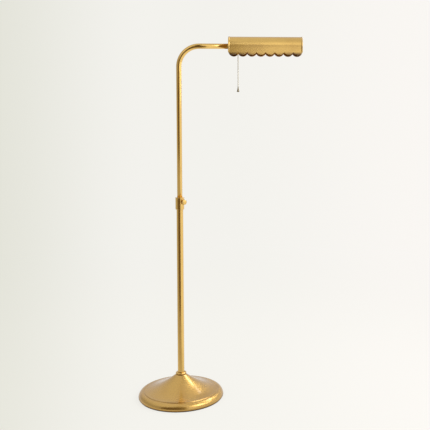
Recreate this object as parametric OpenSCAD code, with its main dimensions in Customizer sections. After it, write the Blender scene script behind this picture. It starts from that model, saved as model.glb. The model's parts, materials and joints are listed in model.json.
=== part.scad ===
// Reading floor lamp: a weighted round base, a two-part pole that telescopes and swivels,
// a bent arm, and a long scalloped shade that tilts about the arm's end.
// Millimetres, +Z up. The origin is the middle of the base, on the floor.
// The arm points along +X.

/* [Base] */
// Widest diameter of the base
base_d = 245; // [230:1:300]
// Radius of the rim's rounded shoulder
rim_r = 16; // [14.5:0.5:18]
// Radius of the rim's turned-in lower edge
edge_r = 3; // [2.5:0.1:4]
// Small step up from the rim to the cone
crease_step = 1.6; // [0.6:0.2:2]
// Height of the shell's neck above the floor
neck_z = 66; // [58:1:80]
// How hollow the cone's outline is, 1 is a straight cone
cone_power = 1.6; // [1.3:0.1:2.2]
// Wall of the spun shell
shell_t = 1.2; // [0.8:0.1:1.6]
// Thickness of the felt pad under the base
pad_t = 2; // [1.5:0.5:4]
// Thickness of the cast weight's plate
weight_h = 11; // [8:0.5:11.5]
// Diameter of the weight's middle boss
boss_d = 60; // [50:1:80]
// Height of the boss above the plate
boss_h = 14; // [10:1:20]
// Diameter of the ring at the foot of the pole
ring_d = 31; // [29:0.5:36]
// Height of the ring at the foot of the pole
ring_h = 7; // [5:0.5:12]

/* [Cord entry] */
// Bore of the cord gland
gland_bore_d = 6.4; // [5.5:0.1:6.8]
// Wall of the gland's sleeve
gland_wall = 1.2; // [1:0.1:1.4]
// Length of the gland's sleeve
gland_l = 14; // [12:0.5:16]

/* [Pole] */
// Outer diameter of the lower tube
lower_d = 19; // [18.5:0.1:21]
// Wall of the lower tube
lower_wall = 1; // [0.8:0.1:1.2]
// Length of the lower tube
lower_l = 500; // [470:1:600]
// Outer diameter of the stem, the bent upper tube
stem_d = 15; // [14:0.1:15.2]
// Wall of the stem
stem_wall = 1; // [0.8:0.1:1.4]
// Height of the arm above the floor
arm_z = 1014; // [960:1:1100]
// Radius of the bend, to the tube's middle
bend_r = 58; // [45:1:80]
// Height of the stem's lower end, inside the lower tube
stem_foot_z = 292; // [280:1:330]
// Length of the nylon guide bush
bush_l = 40; // [25:1:60]

/* [Clamp collar] */
// Outer diameter of the collar
collar_d = 25; // [24:0.1:28]
// Height of the collar
collar_h = 34.5; // [30:0.5:44]
// How far the lower tube stands into the collar
collar_socket = 16; // [14:0.5:16.5]
// Height of the thumbscrew above the collar's lower edge
screw_rise = 22; // [20:0.5:24]
// Direction of the thumbscrew, degrees from +X
screw_azimuth = -45; // [-80:1:-20]
// Diameter of the thumbscrew's thread
screw_d = 5; // [4:0.5:6]
// Diameter of the thumbscrew's head
knob_d = 15; // [13:0.5:18]
// Thickness of the thumbscrew's head
knob_t = 7; // [6:0.5:10]

/* [Shade] */
// Distance from the pole to the shade's near end
shade_x = 140.5; // [125:0.5:170]
// Length of the shade over its end caps
shade_l = 209; // [190:1:220]
// Width of the shade across its round top
shade_w = 54; // [50:1:64]
// How much wider the shade is at its lower edge
shade_flare = 4; // [0:0.5:8]
// Depth of the shade's walls below the arm's axis
skirt_h = 26; // [24:0.5:34]
// Wall of the shade
shade_t = 0.8; // [0.6:0.1:1]
// Number of scallops along each edge
scallops = 8; // [6:1:10]
// Depth of the scallops
scallop_h = 7; // [4:0.5:12]
// How far each end cap's flange laps over the shade
cap_lap = 4; // [3:0.5:6]
// Lower edge of the end caps, below the arm's axis
cap_drop = 18; // [12:0.5:27]

/* [Socket and bulb] */
// Diameter of the socket's shell
socket_d = 33; // [32:0.5:36]
// Length of the socket from cap to mouth
socket_l = 50; // [46:1:56]
// Diameter of the threaded nipples
nipple_d = 9.7; // [9:0.1:10.2]
// Bore of the threaded nipples
nipple_bore_d = 7; // [6:0.1:7.6]
// Diameter of the tubular bulb
bulb_d = 32; // [28:0.5:34]
// Length of the bulb's glass
bulb_l = 112; // [90:1:120]

/* [Pull chain] */
// Distance from the shade's near end to the chain
chain_inset = 27; // [25:0.5:33]
// Diameter of the chain's balls
ball_d = 3.2; // [2.4:0.1:3.6]
// Distance from ball to ball
ball_pitch = 4.2; // [3.8:0.1:4.8]
// Balls above the point where the chain swings
upper_balls = 9; // [8:1:12]
// Balls below that point
lower_balls = 15; // [8:1:20]
// Diameter of the bell pull
bell_d = 7.8; // [6:0.2:10]
// Height of the bell pull
bell_h = 15; // [10:0.5:20]

/* [Hidden] */

$fn = 96;

// Clearances, on the radius
run = 0.05;
slip = 0.2;
// Extra length that lets a cut pass right through a face
over = 1;
// Gap between two stacked faces that turn on each other
face_gap = 0.1;

brass = [0.78, 0.62, 0.32];
dark_brass = [0.45, 0.36, 0.2];

base_r = base_d / 2;
rim_z = pad_t + edge_r;
crease_r = base_r - rim_r;
crease_z = rim_z + rim_r - 0.3;
cone_z = crease_z + crease_step;
neck_r = ring_d / 2 - 0.5;
lip_r = base_r - edge_r;
lip_w = 6;
weight_r = lip_r - lip_w - 2;
gland_z = pad_t + 7;
weight_top = pad_t + weight_h;
boss_top = weight_top + boss_h;
recess_r = 16;
cord_slot_w = 9;
cord_slot_h = 8;

nipple_r = nipple_d / 2;
nipple_bore_r = nipple_bore_d / 2;
nut_h = 6;
nut_af = 16;
washer_r = 12;
washer_t = 1.6;
insert_l = 18;

lower_r = lower_d / 2;
lower_bore_r = lower_r - lower_wall;
lower_top = neck_z + lower_l;
collar_z = lower_top - collar_socket;
collar_r = collar_d / 2;
grub_r = 1.5;
screw_z = collar_z + screw_rise;
screw_r = screw_d / 2;
shoe_t = 1.6;

stem_r = stem_d / 2;
stem_bore_r = stem_r - stem_wall;
shoe_x = stem_r + run;
screw_x = shoe_x + shoe_t;
knob_gap = 4.5;
knob_x = collar_r + knob_gap;
knurls = 24;
plug_flange_t = 3;
stop_t = 3;
flange_r = lower_bore_r - slip;
bush_z = stem_foot_z + face_gap;

cap_t = 0.8;
arm_washer_t = 0.8;
arm_end_x = shade_x - arm_washer_t;
inner_washer_x = shade_x + cap_t;
inner_washer_t = 0.8;
spring_x = inner_washer_x + inner_washer_t;
spring_t = 1.8;
lock_nut_x = spring_x + spring_t;
lock_nut_t = 4;
lock_nut_af = 14;
socket_x = lock_nut_x + lock_nut_t + 1;

shade_top_r = shade_w / 2;
shell_x = shade_x + cap_t;
shell_l = shade_l - 2 * cap_t;
scallop_pitch = shell_l / scallops;
scallop_r = (scallop_h * scallop_h + scallop_pitch * scallop_pitch / 4) / (2 * scallop_h);

socket_r = socket_d / 2;
socket_wall = 0.5;
socket_cap_l = 12;
socket_end = socket_x + socket_l;
liner_t = 0.5;
core_x = socket_x + 5;
core_l = 22;
core_r = socket_r - socket_wall - liner_t - slip;
screw_shell_r = 13.7;
screw_shell_x = core_x + core_l;
contact_h = 2;
bulb_base_r = 13.1;
bulb_base_x = screw_shell_x + contact_h;
bulb_base_l = socket_end - bulb_base_x + 3;
bulb_x = bulb_base_x + bulb_base_l;
bulb_r = bulb_d / 2;
glass_t = 1;

chain_x = shade_x + chain_inset;
ball_r = ball_d / 2;
wire_r = 0.5;
spout_r = 3.4;
spout_bore_r = 2.3;
spout_l = 6;
spout_end_z = arm_z - socket_r - spout_l;
link_r = 1.9;
link_h = 5;
link_z = arm_z - socket_r + 4;
first_ball_z = link_z - ball_r - 0.4;
swing_z = first_ball_z - (upper_balls - 1) * ball_pitch;
bell_pivot_z = swing_z - lower_balls * ball_pitch;
bell_top_z = bell_pivot_z - ball_r - 0.3;

// Outline helpers

// Points of an arc in the plane
function arc(cx, cy, r, a0, a1, n) =
    [for (i = [0:n]) [cx + r * cos(a0 + (a1 - a0) * i / n), cy + r * sin(a0 + (a1 - a0) * i / n)]];

// Height of the cone's outer face at a radius
function cone_height(r) =
    cone_z + (neck_z - cone_z) * pow((crease_r - r) / (crease_r - neck_r), cone_power);

cone_steps = 16;

// The shell's outer face, from the lip under the rim up to the neck
function shell_outline(inset) = concat(
    [[lip_r - lip_w, pad_t + inset]],
    arc(lip_r, rim_z, edge_r - inset, -90, -10, 6),
    arc(crease_r, rim_z, rim_r - inset, 0, 82, 14),
    [[crease_r + 1, crease_z - inset], [crease_r, cone_z - inset]],
    [for (i = [1:cone_steps])
        let (r = crease_r + (neck_r - crease_r) * i / cone_steps,
             rise = (neck_z - cone_z) / (crease_r - neck_r),
             slope = rise * cone_power * pow(i / cone_steps, cone_power - 1))
        [r - inset * slope / sqrt(1 + slope * slope), cone_height(r) - inset / sqrt(1 + slope * slope)]]);

// A pipe along Z
module pipe(outer, inner, length) {
    difference() {
        cylinder(r = outer, h = length);
        translate([0, 0, -over]) cylinder(r = inner, h = length + 2 * over);
    }
}

// A hexagon nut along Z with a round bore
module hex_nut(af, bore, height) {
    difference() {
        cylinder(r = af / sqrt(3), h = height, $fn = 6);
        translate([0, 0, -over]) cylinder(r = bore, h = height + 2 * over);
    }
}

// Moves its children to the arm's axis, with their Z pointing along the arm
module on_arm(x) {
    translate([x, 0, arm_z]) rotate([0, 90, 0]) children();
}

// Moves its children to the thumbscrew's axis, with their Z pointing outwards
module on_screw(x) {
    rotate([0, 0, screw_azimuth]) translate([x, 0, screw_z]) rotate([0, 90, 0]) children();
}

// Base

module foot_pad() {
    color([0.16, 0.14, 0.12]) cylinder(r = lip_r, h = pad_t);
}

module base_weight() {
    color([0.25, 0.25, 0.26]) translate([0, 0, pad_t]) difference() {
        union() {
            cylinder(r = weight_r, h = weight_h);
            cylinder(r = boss_d / 2, h = weight_h + boss_h);
        }
        translate([0, 0, -over]) cylinder(r = recess_r, h = weight_h + over);
        translate([0, 0, -over]) cylinder(r = nipple_r + slip, h = weight_h + boss_h + 2 * over);
        translate([-cord_slot_w / 2, 0, -over]) cube([cord_slot_w, base_r, cord_slot_h + over]);
        gland_pocket();
    }
}

// Room in the weight for the gland's inner end
module gland_pocket() {
    pocket = gland_bore_d / 2 + gland_wall + 1;
    translate([0, base_r - gland_l - 3, gland_z - pad_t]) rotate([-90, 0, 0])
        cylinder(r = pocket, h = gland_l + 3);
}

module base_shell() {
    outer = shell_outline(0);
    inner = shell_outline(shell_t);
    flange_in = nipple_r + slip;
    outline = concat(
        outer,
        [[flange_in, neck_z], [flange_in, neck_z - shell_t]],
        [for (i = [len(inner) - 1:-1:0]) inner[i]]);
    color(brass) difference() {
        rotate_extrude() polygon(outline);
        translate([0, base_r - gland_l, gland_z]) rotate([-90, 0, 0])
            cylinder(r = gland_bore_d / 2 + gland_wall, h = gland_l + over);
    }
}

module base_washer() {
    color("silver") translate([0, 0, weight_top - washer_t]) pipe(washer_r, nipple_r + slip, washer_t);
}

module base_nut() {
    color("silver") translate([0, 0, weight_top - washer_t - nut_h]) hex_nut(nut_af, nipple_r, nut_h);
}

module spacer_tube() {
    color("silver") translate([0, 0, boss_top])
        pipe(nipple_r + 3, nipple_r + slip, neck_z - shell_t - boss_top);
}

module base_nipple() {
    foot = pad_t + 0.5;
    color("silver") translate([0, 0, foot]) pipe(nipple_r, nipple_bore_r, neck_z + insert_l - 2 - foot);
}

module cord_gland() {
    sleeve_r = gland_bore_d / 2 + gland_wall;
    color([0.1, 0.1, 0.1]) translate([0, base_r - gland_l, gland_z]) rotate([-90, 0, 0]) difference() {
        union() {
            cylinder(r = sleeve_r, h = gland_l);
            translate([0, 0, gland_l]) cylinder(r = sleeve_r + 1.4, h = 1.5);
        }
        translate([0, 0, -over]) cylinder(r = gland_bore_d / 2, h = gland_l + 1.5 + 2 * over);
    }
}

module neck_ring() {
    r = ring_d / 2;
    edge = ring_h / 2;
    color(brass) translate([0, 0, neck_z]) rotate_extrude() polygon(concat(
        [[lower_r + run, 0]],
        arc(r - edge, edge, edge, -90, 90, 12),
        [[lower_r + run, ring_h]]));
}

// Pole

module tube_insert() {
    color("silver") translate([0, 0, neck_z]) pipe(lower_bore_r, nipple_r, insert_l);
}

module lower_tube() {
    color(brass) translate([0, 0, neck_z]) pipe(lower_r, lower_bore_r, lower_l);
}

module collar() {
    edge = 0.8;
    lip = 0.5;
    bore = stem_r + run;
    color(brass) difference() {
        translate([0, 0, collar_z]) rotate_extrude() polygon([
            [lower_r, 0], [collar_r - edge, 0], [collar_r, edge],
            [collar_r, collar_h - 3], [collar_r + lip, collar_h - 2.4], [collar_r + lip, collar_h - edge],
            [collar_r + lip - edge, collar_h], [bore, collar_h], [bore, collar_socket],
            [lower_r, collar_socket]]);
        on_screw(0) cylinder(r = screw_r + run, h = collar_r + 2);
        rotate([0, 0, screw_azimuth + 180]) translate([0, 0, collar_z + collar_socket / 2])
            rotate([0, 90, 0]) cylinder(r = grub_r, h = collar_r + 2);
    }
}

module grub_screw() {
    color("dimgray") rotate([0, 0, screw_azimuth + 180])
        translate([lower_r, 0, collar_z + collar_socket / 2]) rotate([0, 90, 0])
            difference() {
                cylinder(r = grub_r, h = collar_r - lower_r - 0.3);
                translate([0, 0, 1]) cylinder(r = 0.8, h = collar_r, $fn = 6);
            }
}

module guide_bush() {
    color("white") translate([0, 0, bush_z]) pipe(lower_bore_r - run, stem_r + run, bush_l);
}

module stem_tube() {
    color(brass) {
        translate([0, 0, stem_foot_z]) pipe(stem_r, stem_bore_r, arm_z - bend_r - stem_foot_z);
        translate([bend_r, 0, arm_z - bend_r]) rotate([90, 0, 0]) rotate([0, 0, 90])
            rotate_extrude(angle = 90) translate([bend_r, 0]) difference() {
                circle(r = stem_r);
                circle(r = stem_bore_r);
            }
        on_arm(bend_r) pipe(stem_r, stem_bore_r, arm_end_x - bend_r);
    }
}

module stop_ring() {
    color("silver") translate([0, 0, bush_z + bush_l + face_gap]) pipe(flange_r, stem_r, stop_t);
}

module end_plug() {
    color("silver") {
        translate([0, 0, stem_foot_z - plug_flange_t]) pipe(flange_r, nipple_bore_r, plug_flange_t);
        translate([0, 0, stem_foot_z]) pipe(stem_bore_r, nipple_bore_r, 10);
    }
}

module clamp_shoe() {
    color("peru") on_screw(shoe_x) cylinder(r = screw_r, h = shoe_t);
}

module thumbscrew() {
    knob_r = knob_d / 2;
    color(brass) on_screw(screw_x) {
        cylinder(r = screw_r, h = knob_x - screw_x);
        translate([0, 0, knob_x - screw_x]) difference() {
            rotate_extrude() polygon(concat(
                [[0, 0], [knob_r - 2.6, 0], [knob_r, 1]],
                [[knob_r, knob_t - 2.2]],
                arc(knob_r - 1.2, knob_t - 2.2, 1.2, 0, 60, 4),
                [[knob_r * 0.5, knob_t - 0.35], [0, knob_t]]));
            for (i = [0:knurls - 1]) rotate([0, 0, i * 360 / knurls])
                translate([knob_r + 0.25, 0, -over]) cylinder(r = 0.6, h = knob_t + over, $fn = 16);
        }
    }
}

// Arm end

module arm_insert() {
    length = 16;
    color("silver") on_arm(arm_end_x - length) pipe(stem_bore_r, nipple_r, length);
}

module arm_nipple() {
    start = arm_end_x - 14;
    color("silver") on_arm(start) pipe(nipple_r, nipple_bore_r, socket_x + 4 - start);
}

module arm_washer() {
    color("ivory") on_arm(arm_end_x) pipe(stem_r + 0.5, nipple_r + run, arm_washer_t);
}

module inner_washer() {
    color("ivory") on_arm(inner_washer_x) pipe(nipple_r + 4, nipple_r + run, inner_washer_t);
}

module spring_washer() {
    bore = nipple_r + run;
    outer = nipple_r + 3.6;
    leaf = 0.8;
    color("silver") on_arm(spring_x) rotate_extrude() polygon([
        [bore, spring_t - leaf], [bore, spring_t], [bore + 0.8, spring_t], [outer, leaf],
        [outer, 0], [outer - 0.8, 0]]);
}

module lock_nut() {
    color("silver") on_arm(lock_nut_x) hex_nut(lock_nut_af, nipple_r, lock_nut_t);
}

// Shade

// The shade's section, looking along the arm, with straight flared walls under a round top
module shade_section(inset, drop) {
    r = shade_top_r - inset;
    flare = shade_flare / 2 * drop / skirt_h;
    polygon(concat(
        [[drop, r + flare]],
        arc(0, 0, r, 90, 270, 36),
        [[drop, -r - flare]]));
}

// A bar of the shade's section, with its Z along the arm
module shade_bar(x, length, inset, drop) {
    on_arm(x) linear_extrude(height = length) shade_section(inset, drop);
}

// What is cut away between the scallops, seen from the side
module scallop_cutter() {
    top = skirt_h - scallop_h;
    difference() {
        translate([0, top]) square([shell_l, scallop_h + over]);
        for (i = [0:scallops - 1]) translate([(i + 0.5) * scallop_pitch, skirt_h - scallop_r])
            circle(r = scallop_r);
    }
}

module shade_shell() {
    color(brass) difference() {
        shade_bar(shell_x, shell_l, 0, skirt_h);
        shade_bar(shell_x - over, shell_l + 2 * over, shade_t, skirt_h + 0.02);
        translate([shell_x, shade_w, arm_z]) rotate([90, 0, 0]) mirror([0, 1, 0])
            linear_extrude(height = 2 * shade_w) scallop_cutter();
    }
}

// An end cap: a plate across the end and a flange that laps over the shade
module end_cap(x, flange_side) {
    lap = 0.6;
    flange_x = flange_side > 0 ? x : x + cap_t - cap_lap;
    difference() {
        union() {
            shade_bar(x, cap_t, -lap, cap_drop);
            shade_bar(flange_x, cap_lap, -lap, cap_drop);
        }
        shade_bar(flange_side > 0 ? x + cap_t : x - cap_lap, cap_lap, 0, cap_drop + 0.02);
    }
}

module near_end_cap() {
    color(brass) difference() {
        end_cap(shade_x, 1);
        on_arm(shade_x - over) cylinder(r = nipple_r + run, h = cap_t + 2 * over);
    }
}

module far_end_cap() {
    color(brass) end_cap(shade_x + shade_l - cap_t, -1);
}

// Socket

module socket_cap() {
    r = socket_r + socket_wall;
    hub = nipple_r + 2.5;
    round_r = 7;
    color(brass) on_arm(socket_x) rotate_extrude() polygon(concat(
        [[nipple_r, 0], [hub, 0], [r - round_r, 0]],
        arc(r - round_r, round_r, round_r, -90, 0, 8),
        [[r, socket_cap_l], [socket_r, socket_cap_l], [socket_r, round_r]],
        arc(r - round_r, round_r, round_r - socket_wall, 0, -90, 8),
        [[hub, socket_wall], [hub, 5], [nipple_r, 5]]));
}

module socket_shell() {
    start = socket_x + 8;
    color(brass) difference() {
        on_arm(start) pipe(socket_r, socket_r - socket_wall, socket_end - start);
        translate([chain_x, 0, arm_z - socket_r - over])
            cylinder(r = spout_r, h = socket_wall + 3 * over);
    }
}

module socket_liner() {
    start = socket_x + 8.5;
    outer = socket_r - socket_wall;
    color("tan") difference() {
        on_arm(start) pipe(outer, outer - liner_t, socket_end - 1 - start);
        translate([chain_x, 0, arm_z - socket_r - over])
            cylinder(r = spout_r, h = socket_wall + liner_t + 3 * over);
    }
}

module socket_core() {
    well_r = link_r + slip + 0.2;
    color([0.12, 0.1, 0.09]) difference() {
        on_arm(core_x) cylinder(r = core_r, h = core_l);
        on_arm(core_x - over) cylinder(r = nipple_r + 3.2, h = 3 + over);
        translate([chain_x, 0, arm_z - socket_r - over]) cylinder(r = well_r, h = 12 + over);
        translate([chain_x, 0, arm_z - socket_r - over])
            cylinder(r = spout_r, h = 1 + socket_wall + liner_t + slip + 0.5);
    }
}

module screw_shell() {
    color("gold") on_arm(screw_shell_x)
        pipe(screw_shell_r, bulb_base_r + run, socket_end - 2 - screw_shell_x);
}

module centre_contact() {
    color("gold") on_arm(screw_shell_x) cylinder(r1 = 5, r2 = 2.5, h = contact_h);
}

module chain_spout() {
    top = 1 + socket_wall + liner_t + slip + 0.5 - over;
    color(brass) translate([chain_x, 0, spout_end_z]) rotate_extrude() polygon([
        [spout_bore_r, 1], [spout_bore_r + 0.6, 0], [spout_r - 0.3, 0], [spout_r, 0.6],
        [spout_r, 1.4], [spout_r - 0.6, 2], [spout_r - 0.6, spout_l - 1.4], [spout_r, spout_l - 0.8],
        [spout_r, spout_l + top], [spout_bore_r, spout_l + top]]);
}

// Pull chain

// A run of balls on a wire, hanging from a height
module ball_run(first_z, count, wire_top, wire_end) {
    translate([chain_x, 0, 0]) {
        for (i = [0:count - 1]) translate([0, 0, first_z - i * ball_pitch]) sphere(r = ball_r, $fn = 32);
        translate([0, 0, wire_end]) cylinder(r = wire_r, h = wire_top - wire_end, $fn = 24);
    }
}

module pull_link() {
    color("silver") translate([chain_x, 0, link_z]) cylinder(r = link_r, h = link_h);
}

module chain_upper() {
    color([0.8, 0.78, 0.72]) ball_run(first_ball_z, upper_balls, link_z, swing_z);
}

module chain_lower() {
    color([0.8, 0.78, 0.72])
        ball_run(swing_z - ball_pitch, lower_balls, swing_z - ball_r - slip, bell_pivot_z);
}

module chain_bell() {
    r = bell_d / 2;
    color(dark_brass) translate([chain_x, 0, bell_top_z - bell_h]) rotate_extrude() polygon([
        [0, 0], [r - 0.4, 0], [r, 0.5], [r, 1.6], [r * 0.84, 2.4], [r * 0.74, bell_h * 0.45],
        [r * 0.56, bell_h * 0.72], [r * 0.4, bell_h * 0.9], [1.2, bell_h], [0, bell_h]]);
}

// Bulb

module bulb_base() {
    tip = 2;
    wall = 0.6;
    r = bulb_base_r;
    color("silver") on_arm(bulb_base_x) rotate_extrude() polygon([
        [0, 0], [4, 0], [8, tip], [9, tip], [r, 2 * tip], [r, bulb_base_l], [r - wall, bulb_base_l],
        [r - wall, 2 * tip + wall], [0, 2 * tip + wall]]);
}

module bulb_glass() {
    neck = 12.4;
    shoulder = 8;
    wall = glass_t;
    color([0.96, 0.95, 0.9]) on_arm(bulb_x) rotate_extrude() polygon(concat(
        [[neck, 0], [bulb_r - 0.6, shoulder * 0.8], [bulb_r, shoulder * 1.4]],
        arc(0, bulb_l - bulb_r, bulb_r, 0, 90, 16),
        [[0, bulb_l - wall]],
        arc(0, bulb_l - bulb_r, bulb_r - wall, 90, 0, 16),
        [[bulb_r - wall, shoulder * 1.4 + 0.3], [bulb_r - 0.6 - wall, shoulder * 0.8 + 0.4],
         [neck - wall, 0]]));
}

foot_pad();
base_weight();
base_shell();
base_washer();
base_nut();
spacer_tube();
base_nipple();
cord_gland();
neck_ring();
tube_insert();
lower_tube();
collar();
grub_screw();
guide_bush();
stem_tube();
stop_ring();
end_plug();
clamp_shoe();
thumbscrew();
arm_insert();
arm_nipple();
arm_washer();
inner_washer();
spring_washer();
lock_nut();
shade_shell();
near_end_cap();
far_end_cap();
socket_cap();
socket_shell();
socket_liner();
socket_core();
screw_shell();
centre_contact();
chain_spout();
pull_link();
chain_upper();
chain_lower();
chain_bell();
bulb_base();
bulb_glass();
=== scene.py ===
import json
from math import asin, atan2, cos, pi, radians, sin, sqrt, tau

import bmesh
import bpy
from bpy.props import FloatProperty, FloatVectorProperty, IntProperty, PointerProperty
from bpy.types import Operator, Panel, PropertyGroup
from mathutils import Matrix, Vector


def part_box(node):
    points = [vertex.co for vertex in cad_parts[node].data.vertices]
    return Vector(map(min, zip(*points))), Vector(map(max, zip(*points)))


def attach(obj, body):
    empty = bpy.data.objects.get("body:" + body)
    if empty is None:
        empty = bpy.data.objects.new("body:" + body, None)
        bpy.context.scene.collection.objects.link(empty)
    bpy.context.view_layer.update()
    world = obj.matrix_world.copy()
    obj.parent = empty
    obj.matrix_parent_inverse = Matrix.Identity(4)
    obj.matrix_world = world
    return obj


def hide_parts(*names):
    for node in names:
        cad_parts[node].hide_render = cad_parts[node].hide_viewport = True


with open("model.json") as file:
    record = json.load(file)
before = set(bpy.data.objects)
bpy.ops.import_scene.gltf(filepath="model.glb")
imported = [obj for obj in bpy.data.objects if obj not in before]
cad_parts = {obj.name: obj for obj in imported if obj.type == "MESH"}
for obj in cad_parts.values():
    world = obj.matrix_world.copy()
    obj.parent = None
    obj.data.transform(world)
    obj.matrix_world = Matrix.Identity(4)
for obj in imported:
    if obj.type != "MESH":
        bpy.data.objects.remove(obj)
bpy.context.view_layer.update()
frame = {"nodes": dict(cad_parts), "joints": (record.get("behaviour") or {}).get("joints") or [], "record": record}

bl_info = {
    "name": "Reading Floor Lamp",
    "version": (1, 0, 0),
    "blender": (4, 5, 0),
    "location": "3D View > Sidebar > Floor Lamp",
    "description": "Builds the finished pieces of a brass reading floor lamp round its frame",
    "category": "Object",
}

MM = 0.001
# Ends the names of the materials made here, since the frame brings its own for each slot
FINISH = "_finish"
# What brass mirrors at a grazing view, duller than polished metal
EDGE_TINT = (0.7, 0.64, 0.68, 1)
# The spot on the floor, X and Y, from which the backdrop turns from dim to light
VIEWPOINT = (0.25, -2)
# What the lamps are aimed at: a point halfway up the pole
AIM_AT = Vector((0, 0, 0.5))


def srgb(red, green, blue):
    """A colour given as it looks on screen, from 0 to 255, turned into linear light."""
    def linear(level):
        level /= 255
        return level / 12.92 if level <= 0.04045 else ((level + 0.055) / 1.055) ** 2.4
    return linear(red), linear(green), linear(blue)


# Places read from the frame

BASE_LOW, BASE_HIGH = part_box("base_shell")
RING_LOW, RING_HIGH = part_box("neck_ring")
LOWER_LOW, LOWER_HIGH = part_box("lower_tube")
COLLAR_LOW, COLLAR_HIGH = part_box("collar")
STEM_LOW, STEM_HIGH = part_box("stem_tube")
SHADE_LOW, SHADE_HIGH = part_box("shade_shell")
NEAR_LOW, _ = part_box("near_end_cap")
_, FAR_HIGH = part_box("far_end_cap")
UPPER_LOW, UPPER_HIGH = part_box("chain_upper")
BELL_LOW, BELL_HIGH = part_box("chain_bell")
GLASS_LOW, GLASS_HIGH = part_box("bulb_glass")
JOINTS = {joint["name"]: joint for joint in frame["joints"]}
SCREW_AXIS = Vector(JOINTS["thumbscrew_turn"]["axis"]).normalized()
SCREW_Z = JOINTS["thumbscrew_turn"]["pos_m"][2]
SWING_Z = JOINTS["chain_swing"]["pos_m"][2]
BELL_PIVOT_Z = JOINTS["bell_swing"]["pos_m"][2]
STEM_R = -STEM_LOW.x
ARM_Z = STEM_HIGH.z - STEM_R


class LampSizes(PropertyGroup):
    """Sizes of the pieces that are modelled here. They match the frame."""

    rim_radius: FloatProperty(
        name="Rim radius", description="Radius of the rim's rounded shoulder",
        default=16 * MM, unit="LENGTH")
    edge_radius: FloatProperty(
        name="Edge radius", description="Radius of the rim's turned-in lower edge",
        default=3 * MM, unit="LENGTH")
    lip_width: FloatProperty(
        name="Lip width", description="Width of the flat lip under the rim",
        default=6 * MM, unit="LENGTH")
    crease_step: FloatProperty(
        name="Crease step", description="Small step up from the rim to the cone",
        default=1.6 * MM, unit="LENGTH")
    cone_power: FloatProperty(
        name="Cone hollow", description="How hollow the cone's outline is; 1 is straight",
        default=1.6)
    shell_wall: FloatProperty(
        name="Shell wall", description="Thickness of the spun base shell",
        default=1.2 * MM, unit="LENGTH")
    shell_bore: FloatProperty(
        name="Shell bore", description="Radius of the hole in the shell's neck",
        default=5.05 * MM, unit="LENGTH")
    bend_radius: FloatProperty(
        name="Bend radius", description="Radius of the arm's bend, to the tube's middle",
        default=58 * MM, unit="LENGTH")
    tube_wall: FloatProperty(
        name="Tube wall", description="Thickness of the pole's tubes",
        default=1 * MM, unit="LENGTH")
    collar_lip: FloatProperty(
        name="Collar lip", description="How far the collar's top band stands out",
        default=0.5 * MM, unit="LENGTH")
    collar_socket: FloatProperty(
        name="Collar socket", description="How far the lower tube stands into the collar",
        default=16 * MM, unit="LENGTH")
    screw_diameter: FloatProperty(
        name="Screw", description="Diameter of the thumbscrew's thread",
        default=5 * MM, unit="LENGTH")
    screw_tip: FloatProperty(
        name="Screw tip", description="Distance from the pole's middle to the thumbscrew's tip",
        default=9.15 * MM, unit="LENGTH")
    knob_reach: FloatProperty(
        name="Knob reach", description="Distance from the pole's middle to the knob",
        default=17 * MM, unit="LENGTH")
    knob_diameter: FloatProperty(
        name="Knob diameter", description="Diameter of the thumbscrew's head",
        default=15 * MM, unit="LENGTH")
    knob_thickness: FloatProperty(
        name="Knob thickness", description="Thickness of the thumbscrew's head",
        default=7 * MM, unit="LENGTH")
    knurls: IntProperty(
        name="Knurls", description="Flutes round the thumbscrew's head", default=24, min=1)
    shade_width: FloatProperty(
        name="Shade width", description="Width of the shade across its round top",
        default=54 * MM, unit="LENGTH")
    shade_flare: FloatProperty(
        name="Shade flare", description="How much wider the shade is at its lower edge",
        default=4 * MM, unit="LENGTH")
    shade_wall: FloatProperty(
        name="Shade wall", description="Thickness of the shade",
        default=0.8 * MM, unit="LENGTH")
    scallops: IntProperty(
        name="Scallops", description="Scallops along each edge of the shade", default=8, min=1)
    scallop_depth: FloatProperty(
        name="Scallop depth", description="Depth of the scallops",
        default=7 * MM, unit="LENGTH")
    cap_lap: FloatProperty(
        name="Cap lap", description="How far an end cap's flange laps over the shade",
        default=4 * MM, unit="LENGTH")
    cap_wall: FloatProperty(
        name="Cap wall", description="Thickness of an end cap",
        default=0.6 * MM, unit="LENGTH")
    ball_diameter: FloatProperty(
        name="Chain ball", description="Diameter of the chain's balls",
        default=3.2 * MM, unit="LENGTH")
    ball_pitch: FloatProperty(
        name="Chain pitch", description="Distance from ball to ball",
        default=4.2 * MM, unit="LENGTH")


class LampColours(PropertyGroup):
    """Colours of the finishes and of the room."""

    brass: FloatVectorProperty(
        name="Brass", description="Satin brass of the base, pole and shade",
        subtype="COLOR", default=srgb(222, 183, 101))
    # Also the colour of the painted shade inside the shade, at its tips, and in the base's crease and at its foot
    tarnish_and_shade: FloatVectorProperty(
        name="Tarnish", description="Browner brass where it has aged",
        subtype="COLOR", default=srgb(162, 112, 44))
    bell: FloatVectorProperty(
        name="Bell pull", description="Aged brass of the bell pull",
        subtype="COLOR", default=srgb(132, 120, 92))
    chain: FloatVectorProperty(
        name="Chain", description="Pale brass of the ball chain",
        subtype="COLOR", default=srgb(206, 198, 180))
    backdrop: FloatVectorProperty(
        name="Backdrop", description="Floor and backdrop",
        subtype="COLOR", default=srgb(243, 242, 237))
    dusk: FloatVectorProperty(
        name="Dusk", description="The dim things in front of the lamp, which the brass mirrors",
        subtype="COLOR", default=srgb(140, 120, 92))


# Shader maths

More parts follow.
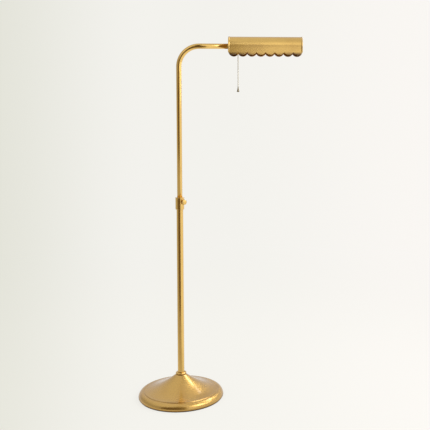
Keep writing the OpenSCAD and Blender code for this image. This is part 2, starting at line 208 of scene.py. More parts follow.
class Value:
    """A shader node's output, so that maths on it reads as arithmetic."""

    def __init__(self, graph, socket):
        self.graph = graph
        self.socket = socket

    def out(self, name):
        """Another output of the same node."""
        return Value(self.graph, self.socket.node.outputs[name])

    def math(self, operation, *values):
        """One Math node on the values given."""
        return self.graph.node("ShaderNodeMath", {"operation": operation}, dict(enumerate(values)))

    def __add__(self, other):
        return self.math("ADD", self, other)

    def __sub__(self, other):
        return self.math("SUBTRACT", self, other)

    def __rsub__(self, other):
        return self.math("SUBTRACT", other, self)

    def __mul__(self, other):
        return self.math("MULTIPLY", self, other)

    def __truediv__(self, other):
        return self.math("DIVIDE", self, other)

    def __pow__(self, other):
        return self.math("POWER", self, other)

    def __abs__(self):
        return self.math("ABSOLUTE", self)

    __radd__ = __add__
    __rmul__ = __mul__

    def cosine(self):
        return self.math("COSINE", self)

    def step(self, low, high):
        """0 below low, 1 above high, and smooth between."""
        return self.graph.node(
            "ShaderNodeMapRange", {"interpolation_type": "SMOOTHSTEP"},
            {"Value": self, "From Min": low, "From Max": high})


class Graph:
    """A node tree and the one method that adds nodes to it."""

    def __init__(self, tree):
        self.tree = tree
        tree.nodes.clear()

    def node(self, kind, settings=None, sockets=None, output=0):
        """Adds a node, makes its settings, then fills its sockets with values or links."""
        added = self.tree.nodes.new(kind)
        for name, setting in (settings or {}).items():
            setattr(added, name, setting)
        for key, given in (sockets or {}).items():
            if isinstance(given, Value):
                self.tree.links.new(given.socket, added.inputs[key])
            else:
                added.inputs[key].default_value = given
        return Value(self, added.outputs[output]) if added.outputs else None

    def place(self):
        """Object coordinates, which stay with the piece as it moves."""
        return self.node("ShaderNodeTexCoord", output="Object")

    def axes(self, vector):
        """The three numbers of a vector."""
        split = self.node("ShaderNodeSeparateXYZ", sockets={"Vector": vector})
        return split.out("X"), split.out("Y"), split.out("Z")

    def vector(self, x, y, z):
        return self.node("ShaderNodeCombineXYZ", sockets={"X": x, "Y": y, "Z": z})

    def noise(self, vector, scale, detail=3, roughness=0.5):
        return self.node(
            "ShaderNodeTexNoise", sockets={
                "Vector": vector, "Scale": scale, "Detail": detail, "Roughness": roughness})

    def mix(self, factor, first, second):
        """A blend of two colours."""
        colours = [given if isinstance(given, Value) else (*given, 1) for given in (first, second)]
        return self.node(
            "ShaderNodeMix", {"data_type": "RGBA"}, {0: factor, 6: colours[0], 7: colours[1]},
            output=2)

    def shader_mix(self, factor, first, second):
        return self.node("ShaderNodeMixShader", sockets={0: factor, 1: first, 2: second})

    def emission(self, colour, strength=1.0):
        given = colour if isinstance(colour, Value) else (*colour, 1)
        return self.node("ShaderNodeEmission", sockets={"Color": given, "Strength": strength})

    def bumps(self, height, distance, strength):
        return self.node(
            "ShaderNodeBump", sockets={
                "Height": height, "Distance": distance, "Strength": strength})

    def surface(self, **sockets):
        """The material's one shader and its output. A socket's name has _ for each space."""
        shader = self.node(
            "ShaderNodeBsdfPrincipled",
            sockets={name.replace("_", " "): given for name, given in sockets.items()})
        self.node("ShaderNodeOutputMaterial", sockets={"Surface": shader})


def new_finish(slot):
    """The node tree of a new material, which finish_for finds by its slot."""
    material = bpy.data.materials.new(slot + FINISH)
    material.use_nodes = True
    return Graph(material.node_tree)


def darker(colour, share):
    return tuple(level * share for level in colour)


# Materials

def brass_surface(graph, grain, roughness, colours, wear_and_shade, painted_dark=0, **sockets):
    """Lacquered satin brass: a fine grain, a soft unevenness, and browner brass where the wear share is high,
    which carries real wear and also painted shade; the dark share paints deeper shade.
    """
    place = graph.place()
    cloud = graph.noise(place, 18, detail=4)
    mottle = graph.noise(place, 140, detail=3)
    # aged holds random unevenness and, through the wear share, painted shade
    aged = wear_and_shade * 0.6 + cloud.step(0.45, 0.75) * 0.14 + mottle * 0.08
    colour = graph.mix(aged, colours.brass, colours.tarnish_and_shade)
    # A deeper painted shade, mixed towards a dark brown
    colour = graph.mix(painted_dark, colour, darker(colours.tarnish_and_shade, 0.25))
    rough = roughness + (cloud - 0.5) * 0.1 + (grain - 0.5) * 0.08
    graph.surface(
        Base_Color=colour, Metallic=1.0, Roughness=rough, Specular_Tint=EDGE_TINT,
        Coat_Weight=0.85, Coat_Roughness=0.14, Normal=graph.bumps(grain, 0.00002, 0.06),
        **sockets)


def spun_brass(name, colours, crease_radius, foot_z):
    """Brass of the base: rings of fine spinning lines, browner all over, with painted shade in the crease and a
    painted contact shadow at the foot.
    """
    graph = new_finish(name)
    x, y, z = graph.axes(graph.place())
    radius = (x * x + y * y) ** 0.5
    rings_out, rings_up = 1400, 900
    rings = graph.noise(graph.vector(radius * rings_out, z * rings_up, 0), 1, detail=2)
    # Painted shade along the crease and a painted contact shadow at the foot, both mixed in as browner brass
    painted_crease_shade = 1 - abs(radius - crease_radius).step(0.0005, 0.0035)
    painted_foot_shadow = 1 - z.step(foot_z, foot_z + 0.004)
    brass_surface(
        graph, rings, 0.28, colours, 0.45 + painted_crease_shade * 0.1 + painted_foot_shadow * 0.5,
        Anisotropic=0.6)


def drawn_brass(name, colours, roughness):
    """Brass of the tubes: faint polishing lines round the tube, on its own UV map."""
    graph = new_finish(name)
    round_tube, along, _ = graph.axes(graph.node("ShaderNodeUVMap", {"uv_map": "UVMap"}))
    turned = (round_tube * tau).cosine()
    fine, coarse = 1100, 14
    lines = graph.noise(graph.vector(turned * 0.4, along * fine, 0), 1, detail=2)
    smudges = graph.noise(graph.vector(turned * 1.2, along * coarse, 0), 1, detail=4)
    brass_surface(graph, lines, roughness, colours, smudges.step(0.55, 0.8) * 0.35)


def brushed_brass(name, colours, roughness, pace, painted_inner_shade=False):
    """Brass brushed along one axis; pace says how fast the grain changes along X, Y and Z.
    With a lining the inside gets painted shade, and the scallop tips get a painted dark, strongest by both ends,
    that stands for shade and dark reflections."""
    graph = new_finish(name)
    x, y, z = graph.axes(graph.place())
    grain = graph.noise(graph.vector(x * pace[0], y * pace[1], z * pace[2]), 1, detail=3)
    wear_and_shade = grain.step(0.62, 0.8) * 0.2
    painted_dark = 0
    if painted_inner_shade:
        _, facing_y, facing_z = graph.axes(graph.node("ShaderNodeTexCoord", output="Normal"))
        outside = (facing_y * y + facing_z * (z - ARM_Z)).step(-0.004, 0.004)
        at_tips = 1 - z.step(SHADE_LOW.z + 0.001, SHADE_LOW.z + 0.01)
        at_ends = abs(x - (SHADE_LOW.x + SHADE_HIGH.x) / 2).step(0.02, 0.09)
        # Painted shade: the inside of the shade is darkened, and the scallop tips are darkened most by both ends
        wear_and_shade = wear_and_shade + (1 - outside) * 1.4 + at_tips * 0.3
        painted_dark = at_tips * (at_ends * 0.8 + 0.05)
    brass_surface(graph, grain, roughness, colours, wear_and_shade, painted_dark)


def plain_metal(name, colour, roughness):
    """A plated or bright metal with a faint unevenness."""
    graph = new_finish(name)
    cloud = graph.noise(graph.place(), 900, detail=2)
    graph.surface(
        Base_Color=graph.mix(cloud * 0.5, colour, darker(colour, 0.72)), Metallic=1.0,
        Roughness=roughness + (cloud - 0.5) * 0.2, Normal=graph.bumps(cloud, 0.00002, 0.3))


def moulded(name, colour, roughness, scale, depth):
    """A moulded or cast surface with a fine texture."""
    graph = new_finish(name)
    texture = graph.noise(graph.place(), scale, detail=4, roughness=0.6)
    graph.surface(
        Base_Color=graph.mix(texture, colour, darker(colour, 0.7)),
        Roughness=roughness + (texture - 0.5) * 0.15, Normal=graph.bumps(texture, depth, 0.6))


def felt(name, colour):
    """Felt: short matted fibres."""
    graph = new_finish(name)
    place = graph.place()
    fibres = graph.noise(place, 1800, detail=6, roughness=0.75)
    clumps = graph.noise(place, 180, detail=3)
    graph.surface(
        Base_Color=graph.mix(fibres * 0.7 + clumps * 0.3, colour, darker(colour, 2.4)),
        Roughness=0.95, Sheen_Weight=0.4, Normal=graph.bumps(fibres + clumps, 0.0004, 0.7))


def frosted_glass(name):
    """The bulb's frosted glass, unlit: milky, with a soft gloss."""
    graph = new_finish(name)
    cloud = graph.noise(graph.place(), 60, detail=3)
    graph.surface(
        Base_Color=graph.mix(cloud, srgb(246, 244, 238), srgb(236, 233, 224)),
        Roughness=0.42 + (cloud - 0.5) * 0.1, Coat_Weight=0.35, Coat_Roughness=0.25,
        Subsurface_Weight=0.15, Subsurface_Radius=(0.004, 0.004, 0.004), Subsurface_Scale=1.0)


def backdrop_shade(graph, colours, across, ahead, near=0):
    """The backdrop's colour in one direction: dimmer to the left and lighter to the right. A
    near of more than 0 softens the turn close by."""
    dim, light = srgb(225, 225, 214), srgb(250, 247, 243)
    sideways = across / (across * across + ahead * ahead + near) ** 0.5
    shade = graph.mix(sideways.step(-0.42, -0.16), dim, colours.backdrop)
    return graph.mix(sideways.step(-0.1, 0.26), shade, light)


def floor_paint(name, colours):
    """The floor: the backdrop's colour, with part of the shadow round the lamp. In reflections only, it is painted
    lighter to the right, painted dark in front and painted with a shadow round the foot.
    """
    graph = new_finish(name)
    x, y, _ = graph.axes(graph.place())
    path = graph.node("ShaderNodeLightPath")
    mirrored = path.out("Is Glossy Ray")
    shown = path.out("Is Camera Ray") + mirrored + path.out("Is Transmission Ray")
    away = (x * x + y * y) ** 0.5
    shade = backdrop_shade(graph, colours, x - VIEWPOINT[0], y - VIEWPOINT[1], near=0.5)
    # In reflections only: a painted brighter floor to the right
    lit_side = graph.shader_mix(
        x.step(0.05, 0.4) * mirrored, graph.emission(shade),
        graph.emission(colours.backdrop, 1.3))
    # In reflections only: a painted dark patch in front of the lamp and a painted shadow round its foot
    painted_dark_in_front = (1 - y.step(-0.4, 0.1)) * (1 - x.step(0.1, 0.5)) * 0.55
    painted_shadow_by_foot = 1 - away.step(0.118, 0.15)
    glow = graph.shader_mix(
        painted_dark_in_front.math("MAXIMUM", painted_dark_in_front, painted_shadow_by_foot) * mirrored,
        lit_side, graph.emission(colours.dusk))
    paint = graph.node("ShaderNodeBsdfDiffuse", sockets={"Color": (*colours.backdrop, 1)})
    far = away.step(0.4, 2.5)
    mixed = graph.shader_mix(
        shown.math("MINIMUM", shown, 1.0) * (0.84 + far * 0.16), paint, glow)
    graph.node("ShaderNodeOutputMaterial", sockets={"Surface": mixed})


def finish_for(slot):
    """The material made for one of the record's slots, or for the stage."""
    return bpy.data.materials[slot + FINISH]


# Mesh helpers

def arc(centre_x, centre_y, radius, start, end, steps):
    """Points on an arc between two angles in degrees."""
    turns = [radians(start + (end - start) * i / steps) for i in range(steps + 1)]
    return [(centre_x + radius * cos(turn), centre_y + radius * sin(turn)) for turn in turns]


def lathe(outline, closed=False, steps=128):
    """A bmesh turned about Z from an outline of (radius, height) points."""
    bm = bmesh.new()
    verts = [bm.verts.new((radius, 0, height)) for radius, height in outline]
    pairs = list(zip(verts, verts[1:])) + ([(verts[-1], verts[0])] if closed else [])
    edges = [bm.edges.new(pair) for pair in pairs]
    bmesh.ops.spin(
        bm, geom=verts + edges, cent=(0, 0, 0), axis=(0, 0, 1), dvec=(0, 0, 0), angle=tau,
        steps=steps, use_merge=True, use_normal_flip=False, use_duplicate=False)
    bmesh.ops.remove_doubles(bm, verts=bm.verts[:], dist=1e-7)
    bmesh.ops.recalc_face_normals(bm, faces=bm.faces[:])
    return bm


def face_outwards(bm):
    """Turns an open sheet so that its highest face looks up."""
    bmesh.ops.recalc_face_normals(bm, faces=bm.faces[:])
    highest = max(bm.faces, key=lambda face: face.calc_center_median().z)
    if highest.normal.z < 0:
        bmesh.ops.reverse_faces(bm, faces=bm.faces[:])


def new_verts(grown):
    return [item for item in grown["geom"] if isinstance(item, bmesh.types.BMVert)]


def drawn_out(bm, verts, shift):
    """Draws an open ring or chain of vertices out along a line and returns the new ones."""
    chosen = set(verts)
    edges = [edge for edge in bm.edges if all(vert in chosen for vert in edge.verts)]
    grown = new_verts(bmesh.ops.extrude_edge_only(bm, edges=edges))
    bmesh.ops.translate(bm, verts=grown, vec=shift)
    return grown


def map_tube(bm, place_on_tube):
    """Gives a tube a UV map with u once round it and v along it in metres."""
    layer = bm.loops.layers.uv.new("UVMap")
    for face in bm.faces:
        places = [place_on_tube(loop.vert.co) for loop in face.loops]
        highest = max(u for u, _ in places)
        for loop, (u, v) in zip(face.loops, places):
            loop[layer].uv = (u + 1 if highest - u > 0.5 else u, v)


def add_piece(bm, name, body, slot, replaced=(), sharp=32, wall=None):
    """Makes the finished object from a bmesh and says what it rides on and stands for."""
    mesh = bpy.data.meshes.new(name)
    bm.to_mesh(mesh)
    bm.free()
    mesh.shade_smooth()
    mesh.set_sharp_from_angle(angle=radians(sharp))
    mesh.materials.append(finish_for(slot))
    piece = bpy.data.objects.new(name, mesh)
    bpy.context.scene.collection.objects.link(piece)
    if wall:
        solid = piece.modifiers.new("Wall", "SOLIDIFY")
        solid.thickness = wall
        solid.offset = -1
        solid.use_even_offset = True
    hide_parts(*replaced)
    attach(piece, body)
    return piece


# Pieces

class LAMP_OT_finishes(Operator):
    """Make every finish and give the frame's own nodes theirs"""

    bl_idname = "lamp.finishes"
    bl_label = "Finishes"

    def execute(self, context):
        colours = context.scene.lamp_colours
        sizes = context.scene.lamp_sizes
        spun_brass("base_brass", colours, BASE_HIGH.x - sizes.rim_radius, BASE_LOW.z)
        drawn_brass("tube_brass", colours, 0.2)
        brushed_brass("shade_brass", colours, 0.26, (40, 1500, 1500), painted_inner_shade=True)
        brushed_brass("fitting_brass", colours, 0.24, (500, 500, 1500))
        plain_metal("aged_brass", tuple(colours.bell), 0.4)
        plain_metal("chain_metal", tuple(colours.chain), 0.22)
        plain_metal("zinc_steel", srgb(200, 200, 196), 0.32)
        plain_metal("black_steel", srgb(60, 60, 60), 0.4)
        moulded("iron", srgb(62, 62, 64), 0.6, 700, 0.0004)
        moulded("nylon", srgb(232, 228, 214), 0.45, 1200, 0.00005)
        moulded("phenolic", srgb(38, 34, 32), 0.35, 900, 0.00005)
        moulded("card", srgb(176, 148, 108), 0.85, 1500, 0.0001)
        moulded("black_rubber", srgb(34, 34, 34), 0.6, 1100, 0.00008)
        felt("felt", srgb(44, 38, 34))
        frosted_glass("frosted_glass")
        slots = {part["node"]: part["material_slot"] for part in frame["record"]["subparts"]}
        for name, piece in frame["nodes"].items():
            for place in piece.material_slots:
                place.material = finish_for(slots[name])
        return {"FINISHED"}


class LAMP_OT_base(Operator):
    """Spin the base's shell with its rounded rim, crease and hollow cone, and the ring on top"""

    bl_idname = "lamp.base"
    bl_label = "Base"

    def execute(self, context):
        sizes = context.scene.lamp_sizes
        outer = self.outline(sizes, 0)
        inner = self.outline(sizes, sizes.shell_wall)
        bore, top = sizes.shell_bore, BASE_HIGH.z
        neck = [(bore, top), (bore, top - sizes.shell_wall)]
        bm = lathe(outer + neck + inner[::-1], closed=True, steps=192)
        add_piece(bm, "base_cover", "root", "base_brass", ["base_shell"])
        self.ring()
        return {"FINISHED"}

    @staticmethod
    def outline(sizes, inset):
        """The shell's face at a depth under its outside, from the lip up to the neck."""
        radius, foot, top = BASE_HIGH.x, BASE_LOW.z, BASE_HIGH.z
        shoulder, edge = sizes.rim_radius, sizes.edge_radius
        crease = radius - shoulder
        rim_z = foot + edge
        crease_z = rim_z + shoulder - 0.3 * MM
        cone_z = crease_z + sizes.crease_step
        ring_overhang = 0.5 * MM
        neck = RING_HIGH.x - ring_overhang
        rise = (top - cone_z) / (crease - neck)
        points = [(radius - edge - sizes.lip_width, foot + inset)]
        points += arc(radius - edge, rim_z, edge - inset, -90, -10, 8)
        points += arc(crease, rim_z, shoulder - inset, 0, 82, 28)
        ledge = 1 * MM
        points += [(crease + ledge, crease_z - inset), (crease, cone_z - inset)]
        steps = 40
        for i in range(1, steps + 1):
            share = i / steps
            slope = rise * sizes.cone_power * share ** (sizes.cone_power - 1)
            lean = sqrt(1 + slope * slope)
            height = cone_z + (top - cone_z) * share ** sizes.cone_power
            points.append((
                crease + (neck - crease) * share - inset * slope / lean, height - inset / lean))
        return points

    @staticmethod
    def ring():
        """The turned ring round the foot of the pole."""
        half = (RING_HIGH.z - RING_LOW.z) / 2
        bore = LOWER_HIGH.x
        outline = [(bore, RING_LOW.z)]
        outline += arc(RING_HIGH.x - half, RING_LOW.z + half, half, -90, 90, 20)
        outline += [(bore, RING_HIGH.z)]
        add_piece(
            lathe(outline, closed=True), "foot_ring", "root", "fitting_brass", ["neck_ring"])


class LAMP_OT_pole(Operator):
    """Draw the lower tube and the bent stem that ends in the arm"""

    bl_idname = "lamp.pole"
    bl_label = "Pole and arm"

    def execute(self, context):
        self.lower_tube(context.scene.lamp_sizes)
        self.stem(context.scene.lamp_sizes)
        return {"FINISHED"}

    @staticmethod
    def lower_tube(sizes):
        outer, inner = LOWER_HIGH.x, LOWER_HIGH.x - sizes.tube_wall
        low, high = LOWER_LOW.z, LOWER_HIGH.z
        bm = lathe([(inner, low), (outer, low), (outer, high), (inner, high)], closed=True)
        map_tube(bm, lambda co: (atan2(co.y, co.x) / tau, co.z))
        add_piece(bm, "lower_pole", "root", "tube_brass", ["lower_tube"])

    def stem(self, sizes):
        bend = sizes.bend_radius
        knee = ARM_Z - bend
        bm = bmesh.new()
        circle = bmesh.ops.create_circle(
            bm, cap_ends=False, radius=STEM_R, segments=64,
            matrix=Matrix.Translation((0, 0, STEM_LOW.z)))
        ring = drawn_out(bm, circle["verts"], Vector((0, 0, knee - STEM_LOW.z)))
        ring_edges = [edge for edge in bm.edges if all(vert in ring for vert in edge.verts)]
        turned = bmesh.ops.spin(
            bm, geom=ring + ring_edges, cent=(bend, 0, knee), axis=(0, 1, 0), dvec=(0, 0, 0),
            angle=pi / 2, steps=40, use_merge=False, use_normal_flip=False, use_duplicate=False)
        last = [item for item in turned["geom_last"] if isinstance(item, bmesh.types.BMVert)]
        drawn_out(bm, last, Vector((STEM_HIGH.x - bend, 0, 0)))
        face_outwards(bm)
        map_tube(bm, lambda co: self.place_on_stem(co, bend, knee))
        add_piece(bm, "bent_stem", "stem", "tube_brass", ["stem_tube"], wall=sizes.tube_wall)

    @staticmethod
    def place_on_stem(co, bend, knee):
        """How far round the tube and how far along its bent path a point lies."""
        if co.x >= bend:
            return atan2(co.y, co.z - ARM_Z) / tau, knee + bend * pi / 2 + co.x - bend
        if co.z <= knee:
            return atan2(co.y, -co.x) / tau, co.z
        away = Vector((bend - co.x, co.z - knee))
        return atan2(co.y, away.length - bend) / tau, knee + bend * atan2(away.y, away.x)


class LAMP_OT_clamp(Operator):
    """Turn the clamp collar and the thumbscrew with its knurled, slightly domed head"""

    bl_idname = "lamp.clamp"
    bl_label = "Collar and thumbscrew"

    def execute(self, context):
        sizes = context.scene.lamp_sizes
        self.collar(sizes)
        self.thumbscrew(sizes)
        return {"FINISHED"}

    @staticmethod
    def collar(sizes):
        """The collar: a plain sleeve with a raised band round its top."""
        band = COLLAR_HIGH.x
        radius = band - sizes.collar_lip
        low, high = COLLAR_LOW.z, COLLAR_HIGH.z
        socket = low + sizes.collar_socket
        bore = STEM_R + 0.05 * MM
        edge, band_edge = 0.8 * MM, 0.4 * MM
        outline = [(LOWER_HIGH.x, low)]
        outline += arc(radius - edge, low + edge, edge, -90, 0, 6)
        outline += [(radius, high - 3 * MM)]
        outline += arc(band - band_edge, high - 2.3 * MM, band_edge, -60, 0, 4)
        outline += arc(band - edge, high - edge, edge, 0, 90, 6)
        outline += [(bore, high), (bore, socket), (LOWER_HIGH.x, socket)]
        add_piece(
            lathe(outline, closed=True), "clamp_collar", "root", "fitting_brass", ["collar"])

    def thumbscrew(self, sizes):
        radius, thick = sizes.knob_diameter / 2, sizes.knob_thickness
        shank, head = sizes.screw_diameter / 2, sizes.knob_reach
        chamfer, rounding, dome = 0.4 * MM, 1.1 * MM, 0.9 * MM
        back, face = head + 1 * MM, head + thick
        outline = [
            (0, sizes.screw_tip), (shank - chamfer, sizes.screw_tip),
            (shank, sizes.screw_tip + chamfer), (shank, head), (radius - 2.6 * MM, head),
            (radius, back), (radius, face - 2.2 * MM)]
        outline += arc(radius - rounding, face - 2 * MM, rounding, 10, 72, 5)
        outline += [
            (radius * share, face - dome * share ** 2) for share in (0.75, 0.6, 0.4, 0.2, 0)]
        steps_per_knurl = 6
        bm = lathe(outline, steps=steps_per_knurl * sizes.knurls)
        self.knurl(bm, sizes.knurls, radius, head + 0.6 * MM)
        upright = SCREW_AXIS.to_track_quat("Z", "Y").to_matrix().to_4x4()
        bmesh.ops.transform(
            bm, matrix=Matrix.Translation((0, 0, SCREW_Z)) @ upright, verts=bm.verts[:])
        add_piece(bm, "knob", "knob", "fitting_brass", ["thumbscrew"], sharp=28)

    @staticmethod
    def knurl(bm, knurls, radius, start):
        """Presses straight flutes into the rim of the head."""
        depth = 0.45 * MM
        for vert in bm.verts:
            reach = vert.co.xy.length
            if vert.co.z > start and reach > radius - 0.8 * MM:
                press = 0.5 - 0.5 * cos(atan2(vert.co.y, vert.co.x) * knurls)
                vert.co.xy *= 1 - depth * press / reach


class LAMP_OT_shade(Operator):
    """Bend the scalloped shade and press its end caps"""

    bl_idname = "lamp.shade"
    bl_label = "Shade"

    def execute(self, context):
        sizes = context.scene.lamp_sizes
        self.shell(sizes)
        self.cap(sizes, "near_cap", "near_end_cap", NEAR_LOW.x, 1)
        self.cap(sizes, "far_cap", "far_end_cap", FAR_HIGH.x, -1)
        return {"FINISHED"}

    def shell(self, sizes):
        """A flat sheet with scalloped edges, bent over the round top."""
        columns_per_scallop, rows = 24, 68
        columns = sizes.scallops * columns_per_scallop
        bm = bmesh.new()
        bmesh.ops.create_grid(bm, x_segments=columns, y_segments=rows, size=1)
        for vert in bm.verts:
            along = (vert.co.x + 1) / 2 * sizes.scallops
            vert.co = self.bent(sizes, along, vert.co.y)
        face_outwards(bm)
        add_piece(
            bm, "shade_cover", "shade", "shade_brass", ["shade_shell"], sharp=40,
            wall=sizes.shade_wall)

    @staticmethod
    def bent(sizes, along, across):
        """Where a point of the flat sheet lies: along counts scallops, across is -1 to 1."""
        pitch = (SHADE_HIGH.x - SHADE_LOW.x) / sizes.scallops
        depth = sizes.scallop_depth
        curve = (depth ** 2 + pitch ** 2 / 4) / (2 * depth)
        scallop = min(int(along + 1e-4), sizes.scallops - 1)
        widest = asin(pitch / 2 / curve)
        swing = widest * (2 * (along - scallop) - 1)
        x = SHADE_LOW.x + (scallop + 0.5) * pitch + curve * sin(swing)
        full = ARM_Z - SHADE_LOW.z
        drop = full - curve * (1 - cos(swing))
        radius = sizes.shade_width / 2
        over_top = 0.6
        if abs(across) <= over_top:
            turn = across / over_top * pi / 2
            return Vector((x, radius * sin(turn), ARM_Z + radius * cos(turn)))
        down = drop * (abs(across) - over_top) / (1 - over_top)
        out = radius + sizes.shade_flare / 2 * (down / full) ** 1.3
        return Vector((x, out if across > 0 else -out, ARM_Z - down))

    @staticmethod
    def cap(sizes, name, node, outer_x, inwards):
        """A pressed end cap: a plate with a rounded edge and a flange that laps over the shade."""
        drop, full = ARM_Z - NEAR_LOW.z, ARM_Z - SHADE_LOW.z
        radius = sizes.shade_width / 2 + sizes.cap_wall
        foot = radius + sizes.shade_flare / 2 * drop / full
        outline = [(foot, -drop)] + arc(0, 0, radius, 0, 180, 48) + [(-foot, -drop)]
        bm = bmesh.new()
        verts = [bm.verts.new((outer_x, y, ARM_Z + z)) for y, z in outline]
        chain = [bm.edges.new(pair) for pair in zip(verts, verts[1:])]
        lower_edge = bm.edges.new((verts[-1], verts[0]))
        bmesh.ops.contextual_create(bm, geom=chain + [lower_edge])
        flange = new_verts(bmesh.ops.extrude_edge_only(bm, edges=chain))
        bmesh.ops.translate(bm, verts=flange, vec=(inwards * sizes.cap_lap, 0, 0))
        face_outwards(bm)
        bmesh.ops.bevel(
            bm, geom=chain, offset=0.8 * MM, offset_type="OFFSET", affect="EDGES", segments=4,
            profile=0.5, material=-1, clamp_overlap=True)
        add_piece(bm, name, "shade", "shade_brass", [node], sharp=30, wall=sizes.cap_wall)


class LAMP_OT_bulb(Operator):
    """Blow the tubular bulb"""

    bl_idname = "lamp.bulb"
    bl_label = "Bulb"

    def execute(self, context):
        radius, length = GLASS_HIGH.y, GLASS_HIGH.x - GLASS_LOW.x
        foot, glass_wall = 12.4 * MM, 1 * MM
        outline = [(foot, 0), (foot + 1.2 * MM, 2.4 * MM), (radius - 0.9 * MM, 6 * MM)]
        outline += [(radius - 0.2 * MM, 9 * MM), (radius, 12 * MM)]
        outline += arc(0, length - radius, radius, 0, 90, 24)
        bm = lathe(outline, steps=96)
        bmesh.ops.transform(
            bm, verts=bm.verts[:],
            matrix=Matrix.Translation((GLASS_LOW.x, 0, ARM_Z)) @ Matrix.Rotation(pi / 2, 4, "Y"))
        add_piece(bm, "bulb", "stem", "frosted_glass", ["bulb_glass"], wall=glass_wall)
        return {"FINISHED"}


class LAMP_OT_chain(Operator):
    """String the ball chain and hang the bell pull"""

    bl_idname = "lamp.chain"
    bl_label = "Pull chain"

    def execute(self, context):
        sizes = context.scene.lamp_sizes
        pitch, radius = sizes.ball_pitch, sizes.ball_diameter / 2
        upper = int((UPPER_HIGH.z - SWING_Z) / pitch) + 1
        lower = round((SWING_Z - BELL_PIVOT_Z) / pitch)
        self.run(
            "chain_top", "pull", "chain_upper", radius,
            [SWING_Z + i * pitch for i in range(upper)], UPPER_HIGH.z)
        self.run(
            "chain_bottom", "chain", "chain_lower", radius,
            [BELL_PIVOT_Z + i * pitch for i in range(lower)], SWING_Z - radius - 0.2 * MM)
        self.bell()
        return {"FINISHED"}

    @staticmethod
    def run(name, body, node, radius, heights, wire_top):
        """Balls on a wire."""
        x = (UPPER_LOW.x + UPPER_HIGH.x) / 2
        wire, wire_low = 0.5 * MM, min(heights)
        bm = bmesh.new()
        for height in heights:
            bmesh.ops.create_uvsphere(
                bm, u_segments=24, v_segments=16, radius=radius,
                matrix=Matrix.Translation((x, 0, height)))
        bmesh.ops.create_cone(
            bm, cap_ends=True, segments=12, radius1=wire, radius2=wire,
            depth=wire_top - wire_low,
            matrix=Matrix.Translation((x, 0, (wire_top + wire_low) / 2)))
        add_piece(bm, name, body, "chain_metal", [node])

    @staticmethod
    def bell():
        """The bell pull: a small turned bell with a rolled lip and a hollow mouth."""
        radius, height = (BELL_HIGH.x - BELL_LOW.x) / 2, BELL_HIGH.z - BELL_LOW.z
        lip, top = 0.8 * MM, height - 1.2 * MM
        # The side narrows upwards in a hollow curve, given at shares of its height
        side = [
            (radius * (0.31 + 0.53 * (1 - share) ** 1.4), 2 * lip + (top - 2 * lip) * share)
            for share in (0.1, 0.2, 0.35, 0.5, 0.65, 0.8, 0.9, 1)]
        outline = [(0, 3 * MM), (radius * 0.5, 2.6 * MM), (radius * 0.7, lip)]
        outline += arc(radius - lip, lip, lip, -90, 90, 10)
        outline += side + [(1.1 * MM, height - 0.5 * MM), (0.8 * MM, height), (0, height)]
        bm = lathe(outline, steps=48)
        bmesh.ops.translate(
            bm, verts=bm.verts[:], vec=((BELL_LOW.x + BELL_HIGH.x) / 2, 0, BELL_LOW.z))
        add_piece(bm, "bell_pull", "bell", "aged_brass", ["chain_bell"])


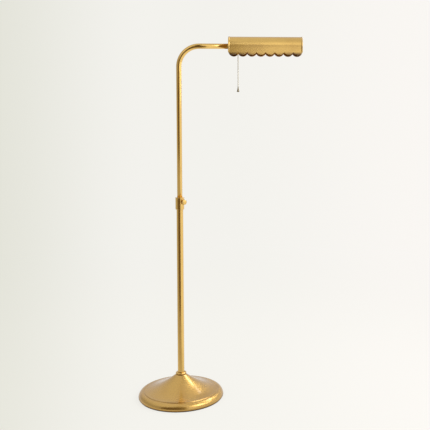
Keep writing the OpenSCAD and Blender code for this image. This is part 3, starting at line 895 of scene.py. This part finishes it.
class LAMP_OT_stage(Operator):
    """Lay the floor, light the lamp softly and aim the camera"""

    bl_idname = "lamp.stage"
    bl_label = "Floor, lights and camera"

    def execute(self, context):
        colours = context.scene.lamp_colours
        floor_paint("floor_paint", colours)
        to_horizon = (160, 160)
        self.sheet("floor", (0, 0, 0), to_horizon, 0, "floor_paint")
        self.room(colours)
        dusk = tuple(colours.dusk)
        self.screen("near_screen", (-0.29, -0.85, 0.44), (1.24, 0.88), darker(dusk, 0.65))
        self.screen("far_screen", (-0.75, -2.3, 0.68), (3.1, 1.36), dusk)
        self.screen("high_screen", (-1.09, -2.3, 1.6), (2.4, 0.5), dusk)
        self.screen("tall_screen", (-0.05, -0.9, 1.6), (0.26, 1.3), darker(dusk, 0.3))
        self.softbox("side_softbox", (1.6, -0.8, 1.55), (1.0, 1.1), 3.0)
        self.softbox("leaning_softbox", (1.04, 0.46, 1.03), (0.13, 2.1), 4.2, lean=-65)
        self.softbox("rear_softbox", (1.78, 1.23, 2.5), (1.28, 0.64), 3.4)
        self.camera()
        context.scene.view_settings.view_transform = "Standard"
        return {"FINISHED"}

    @staticmethod
    def sheet(name, place, size, tilt, material):
        """A flat sheet of the stage: the floor, or a screen when it is tilted up."""
        mesh = bpy.data.meshes.new(name)
        bm = bmesh.new()
        bmesh.ops.create_grid(bm, x_segments=1, y_segments=1, size=0.5)
        bmesh.ops.scale(bm, verts=bm.verts[:], vec=(*size, 1))
        bmesh.ops.rotate(bm, verts=bm.verts[:], matrix=Matrix.Rotation(tilt, 3, "X"))
        bmesh.ops.translate(bm, verts=bm.verts[:], vec=place)
        bm.to_mesh(mesh)
        bm.free()
        mesh.materials.append(finish_for(material))
        sheet = bpy.data.objects.new(name, mesh)
        bpy.context.scene.collection.objects.link(sheet)
        return sheet

    def screen(self, name, place, size, colour):
        """An upright dim screen in front of the lamp, seen only in the brass."""
        paint = new_finish(name)
        paint.node("ShaderNodeOutputMaterial", sockets={"Surface": paint.emission(colour)})
        screen = self.sheet(name, place, size, pi / 2, name)
        screen.visible_camera = False
        screen.visible_diffuse = False
        screen.visible_transmission = False
        screen.visible_shadow = False

    @staticmethod
    def room(colours):
        """A pale room, brighter to the right and in front and dimmer to the left."""
        world = bpy.data.worlds.new("room")
        bpy.context.scene.world = world
        world.use_nodes = True
        graph = Graph(world.node_tree)
        x, y, z = graph.axes(graph.node("ShaderNodeTexCoord", output="Generated"))
        bearing = x.math("ARCTAN2", x, 0 - y)

        def wall(start, end, top):
            """1 on the wall between two bearings in radians, 0 past them and overhead."""
            return bearing.step(*start) * (1 - bearing.step(*end)) * (1 - z.step(*top))

        def background(strength, colour=(*colours.backdrop, 1)):
            """Light of one colour from far away."""
            return graph.node(
                "ShaderNodeBackground", sockets={"Color": colour, "Strength": strength})

        front = wall((-1.1, -0.6), (0.6, 1.1), (0.5, 0.9))
        right = wall((0.7, 1.1), (2.4, 2.9), (0.6, 0.9))
        left = wall((-2.6, -2.1), (-1.1, -0.7), (0.3, 0.8))
        around = graph.shader_mix(z.step(0.5, 0.95), background(0.9), background(0.95))
        for side, strength in ((front, 1.42), (right, 0.95), (left, 0.6)):
            around = graph.shader_mix(side, around, background(strength))
        shown = background(1.0, backdrop_shade(graph, colours, x, y))
        path = graph.node("ShaderNodeLightPath")
        seen = graph.shader_mix(path.out("Is Camera Ray"), around, shown)
        graph.node("ShaderNodeOutputWorld", sockets={"Surface": seen})

    @staticmethod
    def softbox(name, place, size, brightness, lean=0):
        """A soft lamp that faces the pole, turned in its own plane by lean degrees.
        A brightness of 1 looks white in a mirror."""
        lamp = bpy.data.lights.new(name, "AREA")
        lamp.shape = "RECTANGLE"
        lamp.size, lamp.size_y = size
        lamp.energy = brightness * pi * size[0] * size[1]
        lamp.color = (1, 0.99, 0.97)
        holder = bpy.data.objects.new(name, lamp)
        bpy.context.scene.collection.objects.link(holder)
        aim = AIM_AT - Vector(place)
        holder.matrix_world = (
            Matrix.Translation(place) @ aim.to_track_quat("-Z", "Y").to_matrix().to_4x4()
            @ Matrix.Rotation(radians(lean), 4, "Z"))
        holder.visible_camera = False

    @staticmethod
    def camera():
        """A camera at the photograph's place, with the shift of its cropped frame."""
        picture, focal, sensor = 430, 700, 36
        place = (0.2458, -2.0046, 0.7971)
        middle = (281.5, 175.2)
        yaw, pitch, roll = 0.0229, 0.0739, -0.0033
        ahead = Vector((sin(yaw) * cos(pitch), cos(yaw) * cos(pitch), -sin(pitch)))
        right = Vector((cos(yaw), -sin(yaw), 0))
        down = ahead.cross(right)
        tilted_right = cos(roll) * right + sin(roll) * down
        tilted_down = cos(roll) * down - sin(roll) * right
        turn = Matrix((tilted_right, -tilted_down, -ahead)).transposed().to_4x4()
        data = bpy.data.cameras.new("camera")
        data.sensor_width = sensor
        data.lens = sensor * focal / picture
        data.shift_x = 0.5 - middle[0] / picture
        data.shift_y = middle[1] / picture - 0.5
        camera = bpy.data.objects.new("camera", data)
        bpy.context.scene.collection.objects.link(camera)
        camera.matrix_world = Matrix.Translation(place) @ turn
        bpy.context.scene.camera = camera


class LAMP_PT_panel(Panel):
    """Lists the lamp's pieces in the sidebar"""

    bl_label = "Floor Lamp"
    bl_idname = "LAMP_PT_panel"
    bl_space_type = "VIEW_3D"
    bl_region_type = "UI"
    bl_category = "Floor Lamp"

    def draw(self, context):
        # One button for each group of pieces, then the sizes and the colours
        for step in STEPS:
            self.layout.operator(step.bl_idname)
        for settings in (context.scene.lamp_sizes, context.scene.lamp_colours):
            for name in settings.bl_rna.properties.keys():
                if name not in {"rna_type", "name"}:
                    self.layout.prop(settings, name)


STEPS = (
    LAMP_OT_stage, LAMP_OT_finishes, LAMP_OT_base, LAMP_OT_pole, LAMP_OT_clamp, LAMP_OT_shade,
    LAMP_OT_bulb, LAMP_OT_chain)
CLASSES = (LampSizes, LampColours, *STEPS, LAMP_PT_panel)


def register():
    for cls in CLASSES:
        bpy.utils.register_class(cls)
    bpy.types.Scene.lamp_sizes = PointerProperty(type=LampSizes)
    bpy.types.Scene.lamp_colours = PointerProperty(type=LampColours)


def unregister():
    del bpy.types.Scene.lamp_colours
    del bpy.types.Scene.lamp_sizes
    for cls in reversed(CLASSES):
        bpy.utils.unregister_class(cls)


def main():
    register()
    for step in STEPS:
        group, name = step.bl_idname.split(".")
        getattr(getattr(bpy.ops, group), name)()


if __name__ == "__main__":
    main()
